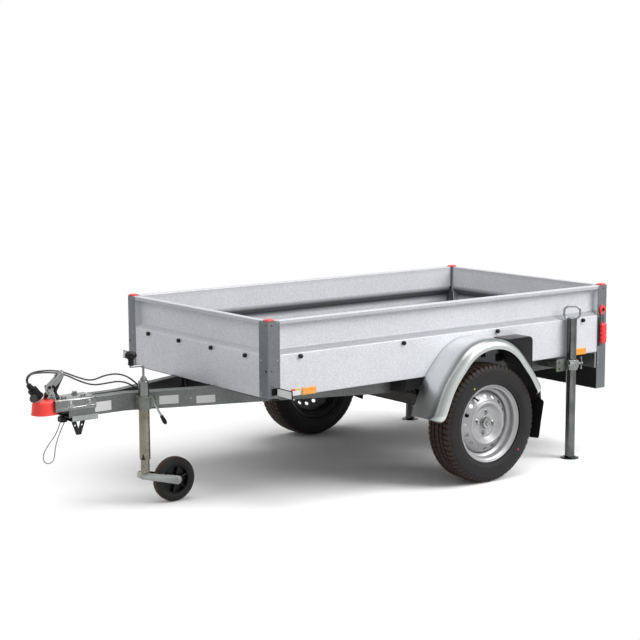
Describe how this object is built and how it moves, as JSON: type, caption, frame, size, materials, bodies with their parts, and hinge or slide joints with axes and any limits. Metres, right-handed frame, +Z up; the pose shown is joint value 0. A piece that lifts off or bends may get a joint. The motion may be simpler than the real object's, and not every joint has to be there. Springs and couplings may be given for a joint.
{
  "type": "utility trailer",
  "caption": "Single-axle open box trailer with V drawbar, ball coupling, drop tailgate, mudguards, swivelling jockey wheel and rear prop stands.",
  "frame": {"origin": "on the ground, on the middle plane, half way between the coupling cover's tip and the rearmost face of the lamps", "axes": "+Z up, -Y forward to the coupling, +X to the trailer's left side"},
  "size_m": [1.515, 2.9399, 0.846],
  "materials": {
    "zinc_panel": "fine-spangle galvanised sheet",
    "zinc_bright": "bright zinc",
    "zinc_grey": "dull hot-dip galvanised",
    "steel_dark": "dark coated steel",
    "axle_steel": "weathered galvanised",
    "rim_silver": "silver painted steel",
    "tyre": "matt rubber",
    "rubber_black": "matt",
    "plastic_black": "satin",
    "plastic_red": "satin",
    "lamp_red": "gloss",
    "reflector_white": "gloss",
    "reflector_amber": "gloss",
    "floor_ply": "phenolic faced plywood",
    "wheel_centre": "satin",
    "rope_wire": "stranded wire"
  },
  "bodies": {
    "trailer": {"panel_left": "zinc_panel", "panel_right": "zinc_panel", "panel_front": "zinc_panel", "floor_board": "floor_ply", "front_posts": "zinc_grey", "rear_posts": "zinc_grey", "post_caps": "plastic_red", "drawbar_beam_left": "zinc_grey", "drawbar_beam_right": "zinc_grey", "cross_members": "steel_dark", "rear_cross_member": "zinc_grey", "light_bar": "plastic_black", "coupling_head": "steel_dark", "coupling_cover": "plastic_red", "coupling_shell": "zinc_bright", "coupling_lever": "zinc_bright", "cable_clip": "plastic_black", "drawbar_guide": "zinc_bright", "prop_bracket": "steel_dark", "rope_anchor": "plastic_black", "axle_tube": "axle_steel", "axle_brackets": "steel_dark", "axle_arms": "axle_steel", "mudguards": "zinc_bright", "mud_flaps": "rubber_black", "wheel_chocks": "plastic_black", "jockey_clamp": "zinc_grey", "clamp_lever": "zinc_bright", "stand_clamps": "zinc_grey", "rear_lamps": "lamp_red", "side_reflectors": "reflector_amber", "reflector_arms": "plastic_black", "front_reflectors": "reflector_white", "cover_knobs": "plastic_black", "latch_handles": "plastic_red", "latch_wires": "zinc_bright", "plug_cable": "rubber_black", "lamp_cable": "rubber_black", "safety_rope": "rope_wire", "cable_gland": "plastic_black", "cable_plug": "plastic_black"},
    "wheel_left": {"tyre_left": "tyre", "rim_left": "rim_silver", "hub_left": "zinc_bright"},
    "wheel_right": {"tyre_right": "tyre", "rim_right": "rim_silver", "hub_right": "zinc_bright"},
    "tailgate": {"tailgate": "zinc_panel", "gate_knobs": "plastic_black", "gate_hooks": "zinc_bright"},
    "stand_left": {"stand_left": "zinc_bright", "stand_ring_left": "zinc_bright"},
    "stand_right": {"stand_right": "zinc_bright", "stand_ring_right": "zinc_bright"},
    "jockey_post": {"jockey_post": "zinc_bright", "crank_knob": "plastic_black"},
    "jockey_fork": {"jockey_fork": "zinc_bright"},
    "jockey_wheel": {"jockey_tyre": "rubber_black", "jockey_rim": "wheel_centre"}
  },
  "joints": [
    {"name": "wheel_left_spin", "type": "hinge", "parent": "trailer", "child": "wheel_left", "pos_m": [0.666, 0.504, 0.277], "axis": [1, 0, 0], "continuous": true},
    {"name": "wheel_right_spin", "type": "hinge", "parent": "trailer", "child": "wheel_right", "pos_m": [-0.666, 0.504, 0.277], "axis": [1, 0, 0], "continuous": true},
    {"name": "tailgate_drop", "type": "hinge", "parent": "trailer", "child": "tailgate", "pos_m": [0, 1.424, 0.518], "axis": [-1, 0, 0], "range_deg": [0, 95]},
    {"name": "stand_left_slide", "type": "slide", "parent": "trailer", "child": "stand_left", "axis": [0, 0, 1], "range_m": [0, 0.4]},
    {"name": "stand_right_slide", "type": "slide", "parent": "trailer", "child": "stand_right", "axis": [0, 0, 1], "range_m": [0, 0.4]},
    {"name": "jockey_post_slide", "type": "slide", "parent": "trailer", "child": "jockey_post", "axis": [0, 0, 1], "range_m": [0, 0.13]},
    {"name": "jockey_swivel", "type": "hinge", "parent": "jockey_post", "child": "jockey_fork", "pos_m": [0.115, -0.98, 0.124], "axis": [0, 0, 1], "continuous": true},
    {"name": "jockey_wheel_spin", "type": "hinge", "parent": "jockey_fork", "child": "jockey_wheel", "pos_m": [0.105, -0.828, 0.1], "axis": [1, 0, 0], "continuous": true}
  ]
}
